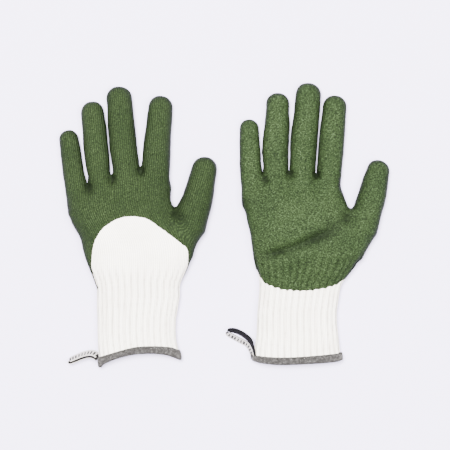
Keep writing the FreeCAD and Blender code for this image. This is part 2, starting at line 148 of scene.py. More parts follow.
class Glove:
    def __init__(self, side):
        self.side = side
        rows = np.array(ROWS[side], f4)[::-1]
        self.ry, self.rl, self.rr = Y(rows[:, 0]), X(rows[:, 1]), X(rows[:, 2])
        grow = smooth((-50.0 - self.ry) / 14.0) * COAT          # the knit lies one skin deeper
        self.rl, self.rr = self.rl - grow, self.rr + grow
        t = np.array(THICK, f4)
        self.ty, self.tt, self.tn = t[:, 0], t[:, 1], t[:, 2]
        self.fingers = {}
        for name in NAMES:
            bx, by, turn, inset, length, wide, k1, k2 = FINGER[(side, name)]
            a = math.radians(turn)
            u = np.array((-math.sin(a), math.cos(a)))
            v = np.array((math.cos(a), math.sin(a)))
            tip, pts = STATIONS[(side, name)]
            pts = np.array(pts, f4)
            px, py, w = X(pts[:, 0]) - bx, Y(pts[:, 1]) - by, pts[:, 2] * 0.89
            s, off, r = px * u[0] + py * u[1], px * v[0] + py * v[1], w / 2
            tx, ty = X(tip[0]) - bx, Y(tip[1]) - by
            top = tx * u[0] + ty * u[1]
            # beyond the second station the tip is a dome
            r_e = r[1] * 1.005
            cap = 1.02 * r_e
            s, off, r = s[1:][::-1], off[1:][::-1], r[1:][::-1]
            off_tip = off[-1]
            s = np.concatenate(((0.0, inset * 0.6), s))
            off = np.concatenate(((0.0, off[0] * 0.7), off))
            r = np.concatenate(((wide * (0.25 if name == "thumb" else 0.44), wide * 0.5), r))
            order = np.argsort(s)
            s, off, r = s[order], off[order], r[order]
            self.fingers[name] = dict(b=(bx, by), u=u, v=v, s=s, off=off, r=r, cap=cap, sc=top - cap, k1=k1, k2=k2,
                                      inset=inset, length=top, a=a, end=off_tip)

    def rows(self, y):
        xl, xr = np.interp(y, self.ry, self.rl), np.interp(y, self.ry, self.rr)
        t, n = np.interp(y, self.ty, self.tt), np.interp(y, self.ty, self.tn)
        lift = 0.9 * smooth((-62.0 - y) / 20.0)
        return (xl + xr) / 2, (xr - xl) / 2, t / 2 + lift, t / 2, n

    def palm(self, P):
        x, y, z = P[:, 0], P[:, 1], P[:, 2]
        xc, a, zc, b, n = self.rows(y)
        cap_y = 24.0
        start = 21.0 if self.side == "right" else np.clip(13.4 + 0.286 * (x + 121.7), 10.0, 28.0)
        ax, az, ay = np.abs(x - xc) / a, np.abs(z - zc) / b, np.maximum(y - start, 0.0) / cap_y
        q = (ax ** n + az ** n + ay ** n) ** (1.0 / n) + 1e-6
        g = np.sqrt((ax ** (n - 1) / a) ** 2 + (az ** (n - 1) / b) ** 2 + (ay ** (n - 1) / cap_y) ** 2) * q ** (1.0 - n)
        return (q - 1.0) / np.maximum(g, 0.02)

    def local(self, F, P):
        dx, dy = P[:, 0] - F["b"][0], P[:, 1] - F["b"][1]
        return dx * F["u"][0] + dy * F["u"][1], dx * F["v"][0] + dy * F["v"][1]

    def tube(self, F, P):
        s, u = self.local(F, P)
        r, off = np.interp(s, F["s"], F["r"]), np.interp(s, F["s"], F["off"])
        flat = FLAT
        h = r * flat
        zc = h + (11.0 - h) * smooth((F["inset"] * 0.9 - s) / (F["inset"] * 0.9))
        c = np.maximum(s - F["sc"], 0.0) / F["cap"] + np.maximum(-s, 0.0) / 6.0
        x, z = (u - off) / r, (P[:, 2] - zc) / h
        n = 2.15
        ax, az = np.abs(x), np.abs(z)
        q = (ax ** n + az ** n + c ** n) ** (1 / n) + 1e-6
        g = np.sqrt((ax ** (n - 1) / r) ** 2 + (az ** (n - 1) / h) ** 2 + (c ** (n - 1) / F["cap"]) ** 2) * q ** (1.0 - n)
        return (q - 1.0) / np.maximum(g, 0.02)

    def field(self, P, parts=False):
        tubes = [self.tube(self.fingers[n], P) for n in NAMES]
        f = tubes[0]
        for t in tubes[1:4]:
            f = smin(f, t, 0.7)
        palm = self.palm(P)
        f = smin(f, palm, 6.0)
        f = smin(f, tubes[4], 8.0)
        if parts:
            return f, palm, tubes
        return f

    def arc(self, P):
        """Distance round the flattened hand or cuff, and the whole way round."""
        xc, a, zc, b, n = self.rows(P[:, 1])
        flat = np.maximum(a - b, 1.0)
        dx, dz = P[:, 0] - xc, P[:, 2] - zc
        over = np.maximum(np.abs(dx) - flat, 0.0)
        turn = np.arctan2(over, np.abs(dz) + 1e-9)
        turn = np.where(over > 0, turn, 0.0)
        length = np.where(over > 0, flat + b * turn, np.abs(dx))
        whole = 4.0 * (flat + b * math.pi / 2)
        arc = np.sign(dx) * length
        under = dz < 0
        arc = np.where(under, np.sign(dx) * whole / 2 - arc, arc)
        return arc, whole


def surface(fn, lo, hi, h):
    """Surface cells of fn = 0 inside a box: points and four-sided faces."""
    n = [int(math.ceil((b - a) / h)) + 1 for a, b in zip(lo, hi)]
    xs, ys, zs = [lo[k] + h * np.arange(n[k]) for k in range(3)]
    grid = np.empty(n, np.float32)
    for i in range(0, n[1], 24):
        sub = ys[i:i + 24]
        g = np.stack(np.meshgrid(xs, sub, zs, indexing="ij"), -1).reshape(-1, 3)
        grid[:, i:i + 24, :] = fn(g).reshape(len(xs), len(sub), len(zs))
    s = grid < 0
    count = np.zeros([k - 1 for k in n], np.int8)
    corners = [(a, b, c) for a in (0, 1) for b in (0, 1) for c in (0, 1)]
    for a, b, c in corners:
        count += s[a:n[0] - 1 + a, b:n[1] - 1 + b, c:n[2] - 1 + c]
    cells = np.argwhere((count > 0) & (count < 8))
    ids = -np.ones(count.shape, np.int64)
    ids[tuple(cells.T)] = np.arange(len(cells))
    acc, num = np.zeros((len(cells), 3)), np.zeros(len(cells))
    for ca in corners:
        for k in range(3):
            if ca[k] == 1:
                continue
            cb = list(ca)
            cb[k] = 1
            fa = grid[tuple((cells + ca).T)].astype(f4)
            fb = grid[tuple((cells + cb).T)].astype(f4)
            m = (fa < 0) != (fb < 0)
            t = np.where(m, fa / np.where(m, fa - fb, 1.0), 0.0)
            p = np.array(ca, f4)[None, :].repeat(len(cells), 0)
            p[:, k] += t
            acc[m] += p[m]
            num[m] += 1
    V = np.array(lo) + (cells + acc / num[:, None]) * h
    quads = []
    for k in range(3):
        sl0, sl1 = [slice(None)] * 3, [slice(None)] * 3
        sl0[k], sl1[k] = slice(0, -1), slice(1, None)
        change = s[tuple(sl0)] != s[tuple(sl1)]
        e = np.argwhere(change)
        o = [j for j in range(3) if j != k]
        e = e[(e[:, o[0]] > 0) & (e[:, o[1]] > 0) & (e[:, o[0]] < n[o[0]] - 1) & (e[:, o[1]] < n[o[1]] - 1)]
        q = []
        for d0, d1 in ((1, 1), (0, 1), (0, 0), (1, 0)):
            c = e.copy()
            c[:, o[0]] -= d0
            c[:, o[1]] -= d1
            q.append(ids[tuple(c.T)])
        q = np.stack(q, 1)
        inside = s[tuple(e.T)]
        flip = inside if k != 1 else ~inside
        q = np.where(flip[:, None], q, q[:, ::-1])
        quads.append(q[(q >= 0).all(1)])
    return V, np.concatenate(quads)


def settle(fn, V, steps=3):
    """Moves points onto fn = 0 and gives the outward normal there."""
    e = 0.05
    for k in range(steps):
        g = np.stack([fn(V + d) - fn(V - d) for d in np.eye(3) * e], 1) / (2 * e)
        g2 = np.maximum((g ** 2).sum(1), 0.05)
        if k == steps - 1:
            return V, g / np.sqrt((g ** 2).sum(1) + 1e-12)[:, None]
        move = g * (fn(V) / g2)[:, None]
        size = np.sqrt((move ** 2).sum(1) + 1e-12)
        V = V - move * np.minimum(1.0, 0.6 / size)[:, None]


def vertex_normals(V, T):
    a, b, c = V[T[:, 0]], V[T[:, 1]], V[T[:, 2]]
    n = np.cross(b - a, c - a)
    out = np.zeros_like(V)
    for k in range(3):
        for j in range(3):
            out[:, j] += np.bincount(T[:, k], n[:, j], len(V))
    return out / (np.sqrt((out ** 2).sum(1)) + 1e-12)[:, None]


def split(V, data, T, value):
    """Cuts triangles along value = 0. data holds more columns that follow the points."""
    value = value.copy()
    value[np.abs(value) < 0.06] = 0.0
    sgn = np.sign(value)
    t = sgn[T]
    cut = (t.max(1) > 0) & (t.min(1) < 0)
    if not cut.any():
        return V, data, T, value
    keep = T[~cut]
    C = T[cut]
    edges = np.concatenate((C[:, (0, 1)], C[:, (1, 2)], C[:, (2, 0)]))
    edges = np.sort(edges, 1)
    cross = sgn[edges[:, 0]] * sgn[edges[:, 1]] < 0
    uniq, = [np.unique(edges[cross], axis=0)]
    w = value[uniq[:, 0]] / (value[uniq[:, 0]] - value[uniq[:, 1]])
    new_id = {(int(a), int(b)): len(V) + i for i, (a, b) in enumerate(uniq)}
    mix = lambda A: A[uniq[:, 0]] * (1 - w)[:, None] + A[uniq[:, 1]] * w[:, None]
    V2 = np.concatenate((V, mix(V)))
    D2 = np.concatenate((data, mix(data)))
    val2 = np.concatenate((value, np.zeros(len(uniq))))
    out = []
    for tri in C:
        a, b, c = (int(i) for i in tri)
        sa, sb, sc = sgn[a], sgn[b], sgn[c]
        for _ in range(3):                     # turn until a stands alone, or lies on the line
            alone = (sa != 0 and sa * sb <= 0 and sa * sc <= 0 and (sb != 0 or sc != 0) and not (sb == 0 and sc == 0))
            if (sa == 0 and sb * sc < 0) or (sa != 0 and sb * sc > 0 and sa * sb < 0):
                break
            a, b, c, sa, sb, sc = b, c, a, sb, sc, sa
        if sa == 0:
            m = new_id[(min(b, c), max(b, c))]
            out += [(a, b, m), (a, m, c)]
        else:
            m1 = new_id[(min(a, b), max(a, b))]
            m2 = new_id[(min(a, c), max(a, c))]
            out += [(a, m1, m2), (m1, b, c), (m1, c, m2)]
    return V2, D2, np.concatenate((keep, np.array(out, np.int64))), val2


def curve(points, n=14):
    """A smooth line through points."""
    p = np.array(points, f4)
    p = np.vstack((2 * p[0] - p[1], p, 2 * p[-1] - p[-2]))
    out = []
    for i in range(1, len(p) - 2):
        t = np.linspace(0, 1, n, endpoint=False)[:, None]
        a, b, c, d = p[i - 1], p[i], p[i + 1], p[i + 2]
        out.append(0.5 * (2 * b + (c - a) * t + (2 * a - 5 * b + 4 * c - d) * t ** 2 + (3 * b - a - 3 * c + d) * t ** 3))
    out.append(p[-2][None, :])
    return np.concatenate(out)


def signed(P, line):
    """Distance to a closed outline, negative inside."""
    best = np.full(len(P), 1e9)
    inside = np.zeros(len(P), bool)
    nxt = np.roll(line, -1, 0)
    for a, b in zip(line, nxt):
        d = b - a
        t = np.clip(((P - a) @ d) / max(d @ d, 1e-12), 0, 1)
        r = P - a - t[:, None] * d
        best = np.minimum(best, (r ** 2).sum(1))
        hit = (a[1] > P[:, 1]) != (b[1] > P[:, 1])
        xi = a[0] + (P[:, 1] - a[1]) * d[0] / (d[1] if abs(d[1]) > 1e-12 else 1e-12)
        inside ^= hit & (P[:, 0] < xi)
    best = np.sqrt(best)
    return np.where(inside, -best, best)


def wave(P, seed, size, count=9):
    """Soft lumps about `size` mm across, from -1 to 1."""
    rng = np.random.RandomState(seed)
    out = np.zeros(len(P))
    for _ in range(count):
        d = rng.normal(size=3)
        d /= np.linalg.norm(d)
        out += np.sin(P @ d * (2 * math.pi / (size * rng.uniform(0.7, 1.5))) + rng.uniform(0, 6.28))
    return out / math.sqrt(count) * 0.8


def groove(P, line, width):
    """1 on a line on the floor plan, falling to 0 over width, and the share of the way along it."""
    line = np.array(line, f4)
    best, share = np.full(len(P), 1e9), np.zeros(len(P))
    total = np.concatenate(((0.0,), np.cumsum(np.linalg.norm(np.diff(line, axis=0), axis=1))))
    for i in range(len(line) - 1):
        a, d = line[i], line[i + 1] - line[i]
        t = np.clip(((P[:, :2] - a) @ d) / (d @ d), 0, 1)
        r = np.linalg.norm(P[:, :2] - a - t[:, None] * d, axis=1)
        m = r < best
        best = np.where(m, r, best)
        share = np.where(m, (total[i] + t * (total[i + 1] - total[i])) / total[-1], share)
    return np.exp(-(best / width) ** 2), share


# ------------------------------------------------------------------ materials
def lin(*rgb):
    return tuple(((c / 255.0) / 12.92 if c / 255.0 <= 0.04045 else ((c / 255.0 + 0.055) / 1.055) ** 2.4) for c in rgb) + (1.0,)


class Nodes:
    def __init__(self, name):
        self.mat = bpy.data.materials.new(name)
        self.mat.use_nodes = True
        self.t = self.mat.node_tree
        self.bsdf = next(n for n in self.t.nodes if n.type == "BSDF_PRINCIPLED")

    def new(self, kind, **kw):
        n = self.t.nodes.new(kind)
        for k, v in kw.items():
            setattr(n, k, v)
        return n

    def link(self, a, b):
        self.t.links.new(a, b)

    def attr(self, name):
        return self.new("ShaderNodeAttribute", attribute_name=name).outputs

    def math(self, op, a, b=None, c=None):
        n = self.new("ShaderNodeMath", operation=op)
        for i, v in enumerate((a, b, c)):
            if v is None:
                continue
            if isinstance(v, (int, float)):
                n.inputs[i].default_value = v
            else:
                self.link(v, n.inputs[i])
        return n.outputs[0]

    def noise(self, vec, scale, detail=2.0, rough=0.5):
        n = self.new("ShaderNodeTexNoise")
        n.inputs["Scale"].default_value = scale
        n.inputs["Detail"].default_value = detail
        n.inputs["Roughness"].default_value = rough
        self.link(vec, n.inputs["Vector"])
        return n.outputs["Fac"]

    def ramp(self, fac, stops):
        n = self.new("ShaderNodeValToRGB")
        el = n.color_ramp.elements
        while len(el) > 1:
            el.remove(el[-1])
        el[0].position, el[0].color = stops[0]
        for pos, col in stops[1:]:
            e = el.new(pos)
            e.color = col
        self.link(fac, n.inputs["Fac"])
        return n.outputs["Color"]

    def mix(self, fac, a, b, mode="MIX"):
        n = self.new("ShaderNodeMix", data_type="RGBA", blend_type=mode)
        for i, v in ((0, fac), (6, a), (7, b)):
            if isinstance(v, (int, float)):
                n.inputs[i].default_value = v
            elif isinstance(v, tuple):
                n.inputs[i].default_value = v
            else:
                self.link(v, n.inputs[i])
        return n.outputs[2]

    def bump(self, height, strength, distance, normal=None):
        n = self.new("ShaderNodeBump")
        n.inputs["Strength"].default_value = strength
        n.inputs["Distance"].default_value = distance
        self.link(height, n.inputs["Height"])
        if normal is not None:
            self.link(normal, n.inputs["Normal"])
        return n.outputs["Normal"]


def latex(name, grain, wales, tones):
    """Crinkled latex: fine wrinkled grain, its colour partly the latex's own speckle and partly painted highlight on
    the crests and painted shade in the pits.
    """
    m = Nodes(name)
    rest = m.attr("rest")["Vector"]
    sep = m.new("ShaderNodeSeparateXYZ")
    m.link(m.attr("fab")["Vector"], sep.inputs[0])
    shd = m.new("ShaderNodeSeparateXYZ")
    m.link(m.attr("shade")["Vector"], shd.inputs[0])
    fine = m.noise(rest, 0.95 * grain, 3.0, 0.65)
    mid = m.noise(rest, 0.66 * grain, 2.0, 0.55)
    big = m.noise(rest, 0.035, 2.0, 0.5)
    vor = m.new("ShaderNodeTexVoronoi", feature="SMOOTH_F1")
    vor.inputs["Scale"].default_value = 0.62 * grain
    vor.inputs["Smoothness"].default_value = 0.6
    m.link(rest, vor.inputs["Vector"])
    grainy = m.math("ADD", m.math("MULTIPLY", fine, 0.5), m.math("MULTIPLY", mid, 0.5))
    # grain colour follows the bump height: paler tones are painted highlight on the crests, darker tones painted shade
    # in the pits, over the latex's own speckle
    col = m.ramp(grainy, tuple((p, tuple(c) + (1.0,)) for p, c in zip((0.36, 0.445, 0.505, 0.57, 0.65), tones)))
    tone = m.ramp(big, ((0.3, (0.84, 0.86, 0.82, 1)), (0.7, (1.14, 1.12, 1.1, 1))))
    col = m.mix(1.0, col, tone, "MULTIPLY")
    # faint lines of the knit below, stronger where the coat is thin
    line = m.math("SINE", m.math("MULTIPLY", sep.outputs["X"], 2 * math.pi / 1.95))
    line = m.math("MULTIPLY", m.math("ADD", line, 1.0), 0.5)
    line = m.math("MULTIPLY", line, sep.outputs["Z"])
    col = m.mix(m.math("MULTIPLY", line, 0.66 * wales), col, tuple(tones[0]) + (1.0,))
    # painted shade: darker colour in the folds, the rib valleys and down the sides that turn away from the overhead
    # light
    deep = m.math("ADD", m.math("MULTIPLY", shd.outputs["X"], 0.46), m.math("MULTIPLY", shd.outputs["Z"], 0.72))
    deep = m.math("MINIMUM", m.math("ADD", deep, m.math("MULTIPLY", shd.outputs["Y"], 0.88)), 0.86)
    col = m.mix(deep, col, tuple(0.62 * c for c in tones[0]) + (1.0,))
    m.link(col, m.bsdf.inputs["Base Color"])
    height = m.math("ADD", m.math("MULTIPLY", grainy, 1.0), m.math("MULTIPLY", vor.outputs["Distance"], 0.35))
    height = m.math("SUBTRACT", height, m.math("MULTIPLY", line, 0.30 * wales))
    m.link(m.bump(height, 1.0, 0.0012), m.bsdf.inputs["Normal"])
    m.bsdf.inputs["Roughness"].default_value = 0.55
    m.bsdf.inputs["Specular IOR Level"].default_value = 0.04
    return m.mat


def knit(name, body=(0.99, 0.94, 0.85), dark=(0.40, 0.36, 0.31)):
    """White plain knit: fine columns with rows of stitches."""
    m = Nodes(name)
    rest = m.attr("rest")["Vector"]
    sep = m.new("ShaderNodeSeparateXYZ")
    m.link(m.attr("fab")["Vector"], sep.inputs[0])
    shd = m.new("ShaderNodeSeparateXYZ")
    m.link(m.attr("shade")["Vector"], shd.inputs[0])
    col_pitch, row_pitch = 1.95, 1.25
    cx = m.math("MULTIPLY", sep.outputs["X"], 2 * math.pi / col_pitch)
    slant = m.math("MULTIPLY", m.math("ABSOLUTE", m.math("SINE", m.math("MULTIPLY", cx, 0.5))), 0.55)
    cy = m.math("MULTIPLY", m.math("ADD", sep.outputs["Y"], slant), 2 * math.pi / row_pitch)
    column = m.math("MULTIPLY", m.math("ADD", m.math("COSINE", cx), 1.0), 0.5)
    row = m.math("MULTIPLY", m.math("ADD", m.math("SINE", cy), 1.0), 0.5)
    fuzz = m.noise(rest, 1.5, 3.0, 0.6)
    big = m.noise(rest, 0.05, 2.0, 0.5)
    height = m.math("ADD", m.math("MULTIPLY", column, -0.55), m.math("MULTIPLY", row, 0.28))
    height = m.math("ADD", height, m.math("MULTIPLY", fuzz, 0.35))
    a, b = tuple(body) + (1.0,), tuple(dark) + (1.0,)
    col = m.mix(m.math("MULTIPLY", m.math("POWER", column, 2.0), 0.34), a, b)
    col = m.mix(m.math("MULTIPLY", m.math("SUBTRACT", 1.0, row), 0.12), col, b)
    # painted shade: the knit is coloured darker in the rib valleys and down the sides that turn away from the overhead
    # light
    deep = m.math("ADD", m.math("MULTIPLY", m.math("POWER", shd.outputs["X"], 1.3), 0.95), m.math("MULTIPLY", shd.outputs["Y"], 0.30))
    col = m.mix(m.math("MINIMUM", deep, 0.9), col, b)
    tone = m.ramp(big, ((0.3, (0.93, 0.92, 0.91, 1)), (0.55, (1.0, 1.0, 1.0, 1))))
    col = m.mix(1.0, col, tone, "MULTIPLY")
    m.link(col, m.bsdf.inputs["Base Color"])
    m.link(m.bump(height, 0.9, 0.0008), m.bsdf.inputs["Normal"])
    m.bsdf.inputs["Roughness"].default_value = 0.92
    m.bsdf.inputs["Specular IOR Level"].default_value = 0.05
    return m.mat


def overlock(name):
    """Grey thread wrapped closely round the edge."""
    m = Nodes(name)
    rest = m.attr("rest")["Vector"]
    sep = m.new("ShaderNodeSeparateXYZ")
    m.link(m.attr("fab")["Vector"], sep.inputs[0])
    wrap = m.math("MULTIPLY", m.math("ADD", m.math("COSINE", m.math("MULTIPLY", sep.outputs["X"], 2 * math.pi)), 1.0), 0.5)
    loose = m.noise(rest, 0.55, 3.0, 0.7)
    fleck = m.noise(rest, 1.1, 2.0, 0.5)
    edge = m.math("POWER", m.math("ABSOLUTE", m.math("SUBTRACT", m.math("MULTIPLY", sep.outputs["Y"], 2.0), 1.0)), 4.0)
    col = m.ramp(loose, ((0.34, (0.024, 0.0222, 0.0213, 1)), (0.5, (0.050, 0.0465, 0.0445, 1)), (0.64, (0.115, 0.108, 0.105, 1))))
    col = m.mix(m.math("MULTIPLY", m.math("SUBTRACT", 1.0, wrap), 0.62), col, (0.015, 0.014, 0.0135, 1))
    col = m.mix(m.math("MULTIPLY", edge, 0.45), col, (0.020, 0.019, 0.018, 1))
    spot = m.math("GREATER_THAN", fleck, 0.71)
    col = m.mix(m.math("MULTIPLY", spot, 0.7), col, (0.30, 0.28, 0.27, 1))
    m.link(col, m.bsdf.inputs["Base Color"])
    m.link(m.bump(m.math("ADD", wrap, m.math("MULTIPLY", loose, 0.6)), 0.8, 0.0004), m.bsdf.inputs["Normal"])
    m.bsdf.inputs["Roughness"].default_value = 0.75
    m.bsdf.inputs["Specular IOR Level"].default_value = 0.06
    return m.mat


def plain(name, rgb, rough=0.8, spec=0.2, spread=0.12, scale=1.2):
    m = Nodes(name)
    rest = m.attr("rest")["Vector"]
    n = m.noise(rest, scale, 3.0, 0.6)
    lo = tuple(c * (1 - spread) for c in rgb)
    hi = tuple(min(255, c * (1 + spread)) for c in rgb)
    col = m.ramp(n, ((0.3, lin(*lo)), (0.7, lin(*hi))))
    m.link(col, m.bsdf.inputs["Base Color"])
    m.link(m.bump(n, 0.5, 0.0003), m.bsdf.inputs["Normal"])
    m.bsdf.inputs["Roughness"].default_value = rough
    m.bsdf.inputs["Specular IOR Level"].default_value = spec
    return m.mat


LATEX = {"left": latex("latex_fine", 1.35, 1.0, ((0.0034, 0.0060, 0.0022), (0.0082, 0.0142, 0.0050), (0.0130, 0.0218, 0.0076),
                                                 (0.0195, 0.0315, 0.0113), (0.0330, 0.0520, 0.0205))),
         "right": latex("latex_coarse", 1.2, 0.25, ((0.0026, 0.0047, 0.0017), (0.0066, 0.0118, 0.0039), (0.0111, 0.0192, 0.0064),
                                                    (0.0195, 0.0322, 0.0121), (0.0370, 0.0590, 0.0260)))}
KNIT = knit("liner_knit")
HEMYARN = overlock("hem_yarn")
TAPE_WHITE = plain("tape_white", (170, 165, 159), 0.75, 0.1, 0.08)
TAPE_BLACK = plain("tape_black", (15, 14, 15), 0.65, 0.1, 0.15)
ELASTIC = plain("elastic_yarn", (226, 222, 216), 0.85, 0.1, 0.08)
THREAD = plain("tack_thread", (78, 75, 72), 0.8, 0.1, 0.15)


# ------------------------------------------------------------------ meshes
def make(name, V, faces, mats, normals=None, rest=None, fab=None, index=None, smooth_faces=True, shade=None):
    mesh = bpy.data.meshes.new(name)
    faces = [np.asarray(f) for f in (faces if isinstance(faces, list) else [faces])]
    sizes = np.concatenate([np.full(len(f), f.shape[1]) for f in faces])
    flat = np.concatenate([f.reshape(-1) for f in faces])
    mesh.vertices.add(len(V))
    mesh.vertices.foreach_set("co", (V * MM).astype(np.float32).reshape(-1))
    mesh.loops.add(len(flat))
    mesh.loops.foreach_set("vertex_index", flat.astype(np.int32))
    mesh.polygons.add(len(sizes))
    mesh.polygons.foreach_set("loop_start", np.concatenate(((0,), np.cumsum(sizes)[:-1])).astype(np.int32))
    mesh.polygons.foreach_set("loop_total", sizes.astype(np.int32))
    if index is not None:
        mesh.polygons.foreach_set("material_index", index.astype(np.int32))
    mesh.update(calc_edges=True)
    for m in mats:
        mesh.materials.append(m)
    mesh.polygons.foreach_set("use_smooth", np.full(len(sizes), smooth_faces))
    for key, data in (("rest", V if rest is None else rest), ("fab", V if fab is None else fab),
                      ("shade", V * 0.0 if shade is None else shade)):
        a = mesh.attributes.new(key, "FLOAT_VECTOR", "POINT")
        a.data.foreach_set("vector", np.asarray(data, np.float32).reshape(-1))
    if normals is not None:
        mesh.normals_split_custom_set_from_vertices(normals.astype(np.float32))
    obj = bpy.data.objects.new(name, mesh)
    bpy.context.scene.collection.objects.link(obj)
    return obj


def shell(name, V, N, T, outer, inner, mats, rest, fab, shade):
    """A skin between two offsets along the normals, closed along its edges."""
    used = np.unique(T)
    back = -np.ones(len(V), np.int64)
    back[used] = np.arange(len(used))
    T = back[T]
    v, n, r, fb, sh = V[used], N[used], rest[used], fab[used], shade[used]
    o = outer[used] if isinstance(outer, np.ndarray) else outer
    i = inner[used] if isinstance(inner, np.ndarray) else inner
    a, b = v + n * np.reshape(o, (-1, 1)), v + n * np.reshape(i, (-1, 1))
    e = np.concatenate((T[:, (0, 1)], T[:, (1, 2)], T[:, (2, 0)]))
    key = np.sort(e, 1)
    code = key[:, 0] * len(v) + key[:, 1]
    uniq, first, cnt = np.unique(code, return_index=True, return_counts=True)
    rim = e[first[cnt == 1]]
    k = len(v)
    quads = np.stack((rim[:, 1], rim[:, 0], rim[:, 0] + k, rim[:, 1] + k), 1)
    index = np.concatenate((np.zeros(len(T)), np.full(len(T), len(mats) - 1), np.zeros(len(quads))))
    return make(name, np.concatenate((a, b)), [np.concatenate((T, T[:, ::-1] + k)), quads], mats,
                np.concatenate((n, -n)), np.concatenate((r, r - n * 0.5)), np.concatenate((fb, fb)), index,
                shade=np.concatenate((sh, sh)))


def tube_loop(name, rings, mats, closed=True):
    """Rings of points joined into a tube; rings is (n, m, 3)."""
    n, m, _ = rings.shape
    V = rings.reshape(-1, 3)
    i = np.arange(n if closed else n - 1)[:, None]
    j = np.arange(m)[None, :]
    a = i * m + j
    b = i * m + (j + 1) % m
    c = ((i + 1) % n) * m + (j + 1) % m
    d = ((i + 1) % n) * m + j
    quads = np.stack(np.broadcast_arrays(a, d, c, b), -1).reshape(-1, 4)
    return V, quads


def build(side):
    g = Glove(side)
    lo = (X(50) - 3, Y(372) - 1, -3.0) if side == "left" else (X(236) - 3, Y(372) - 1, -3.0)
    hi = (X(222), Y(80) + 3, 31.0) if side == "left" else (X(394), Y(80) + 3, 31.0)
    V, Q = surface(g.field, lo, hi, STEP)
    V, N = settle(g.field, V)
    T = np.concatenate((Q[:, (0, 1, 2)], Q[:, (0, 2, 3)]))
    f, palm, tubes = g.field(V, True)
    rest = V.copy()
    top = V[:, 2] > g.rows(V[:, 1])[2]
    up = smooth((N[:, 2] + 0.25) / 0.5)            # 1 on the upper side, 0 below

    # ribs
    arc, whole = g.arc(V)
    start = -31.0 if side == "left" else -20.0
    amp = smooth((start - V[:, 1]) / 17.0)
    amp = amp * np.where(palm < tubes[4] + 3.0, 1.0, 0.0)
    wob = 0.35 * wave(V, 5, 60.0)
    phase = math.pi * RIBS * arc / whole
    ridge = np.abs(np.sin(phase)) ** 0.55
    under_latex = 1.0
    depth = 1.15 * amp
    move = -depth * (1.0 - ridge)

    # folds and soft lumps of an empty glove; each fold's dark value also adds painted shade along it, a negative value
    # taking some away
    crease_shade = np.zeros(len(V))

    def fold(line, width, deep, dark, head=6.0, tail=3.5):
        nonlocal move, crease_shade
        k, t = groove(V, [(X(a_), Y(b_)) for a_, b_ in line], width)
        k = k * smooth(t * head) * smooth((1 - t) * tail) * up
        move = move - deep * k
        # painted shade along the fold
        crease_shade = crease_shade + dark * k

    if side == "right":
        fold(((250, 258), (266, 255), (280, 251.5), (297, 246), (315, 238), (330, 232), (344, 226)), 4.6, 3.0, 0.75, 3.0, 3.0)
        fold(((262, 257), (285, 250)), 3.0, 0.8, 0.3, 3.0, 3.0)
        fold(((296, 244), (325, 233), (349, 216)), 8.0, 0.9, 0.55, 2.0, 3.0)
        fold(((262, 246), (300, 230), (336, 214)), 8.0, -1.0, -0.1, 2.0, 2.0)
        fold(((241, 203.5), (250, 201.5), (264, 203)), 3.0, 1.0, 0.45, 8.0, 3.0)
        fold(((264, 176), (265.5, 181), (267, 187)), 3.2, 1.6, 0.7, 9.0, 1.6)
        fold(((290, 170), (290.5, 176), (291, 182)), 3.0, 1.5, 0.6, 9.0, 1.6)
        fold(((316.5, 171), (317, 176), (317.5, 182)), 3.0, 1.5, 0.6, 9.0, 1.6)
        fold(((349, 213), (346, 219), (340, 226)), 4.5, 1.4, 0.7, 9.0, 1.8)
        fold(((343, 176), (341, 184), (342, 192)), 3.4, 0.6, 0.25, 4.0, 4.0)
    else:
        fold(((172.5, 211), (178, 216), (186, 221), (193, 224)), 4.2, 1.8, 0.75, 9.0, 1.8)
        fold(((88, 183), (89.5, 189), (92, 196)), 3.6, 1.8, 0.75, 9.0, 1.6)
        fold(((112, 175), (113, 181), (115, 188)), 3.2, 1.6, 0.6, 9.0, 1.6)
        fold(((141, 167), (141.5, 173), (142, 180)), 3.4, 1.6, 0.65, 9.0, 1.6)
        fold(((66, 208), (76, 212), (84, 214)), 3.0, 0.7, 0.30, 9.0, 2.0)
        fold(((96, 214), (120, 207), (150, 210)), 9.0, -0.8, -0.1, 2.0, 2.0)
    hand = smooth((V[:, 1] + 55.0) / 30.0)
    move += (0.28 * wave(V, 11 if side == "left" else 23, 26.0) + 0.12 * wave(V, 7, 9.0)) * (0.35 + 0.65 * hand)
    floor_gap = smooth(V[:, 2] / 4.0)
    move = np.where(move > 0, move * (0.3 + 0.7 * floor_gap), move)
    V = V + N * move[:, None]

    # fabric coordinates: across the columns, along them, and how thin the coat is
    w = [np.exp(-np.clip(t, -3, 40) / 2.5) for t in tubes]
    wp = np.exp(-np.clip(palm, -3, 40) / 2.5)
    total = wp + sum(w)
    along = V[:, 1] * wp
    across = arc * wp
    for name, t, wi in zip(NAMES, tubes, w):
        F = g.fingers[name]
        s, u = g.local(F, rest)
        r = np.interp(s, F["s"], F["r"])
        xb = F["b"][0] - np.interp(F["b"][1], g.ry, (g.rl + g.rr) / 2)
        across = across + (r * np.arcsin(np.clip(u / r, -0.999, 0.999)) + xb) * wi
        along = along + (s + F["b"][1]) * wi
    across, along = across / total, along / total
    thin = up if side == "left" else 1.0 - up
    fab = np.stack((across, along, thin), 1)
    # painted shade amounts for the materials: rib valleys, sides turned away from the overhead light, and folds
    flank_shade = np.clip(1.0 - np.abs(N[:, 2]) ** 1.7, 0, 1) ** 1.15
    shade = np.stack((amp * (1.0 - ridge), flank_shade, np.clip(crease_shade, 0, 1)), 1)

    # cuts: finger hinges, then dip edge, wrist and hem
    def plane(name, at):
        F = g.fingers[name]
        s, _ = g.local(F, rest)
        i = NAMES.index(name)
        own = (tubes_now[i] < 1.2) & (s > at - 5)
        return np.where(own, s - at, -5.0)

    data = np.concatenate((N, rest, fab, shade), 1)
    for name in NAMES:
        for key in ("k1", "k2"):
            rest = data[:, 3:6]
            tubes_now = g.field(rest, True)[2]
            V, data, T, _ = split(V, data, T, plane(name, g.fingers[name][key]))

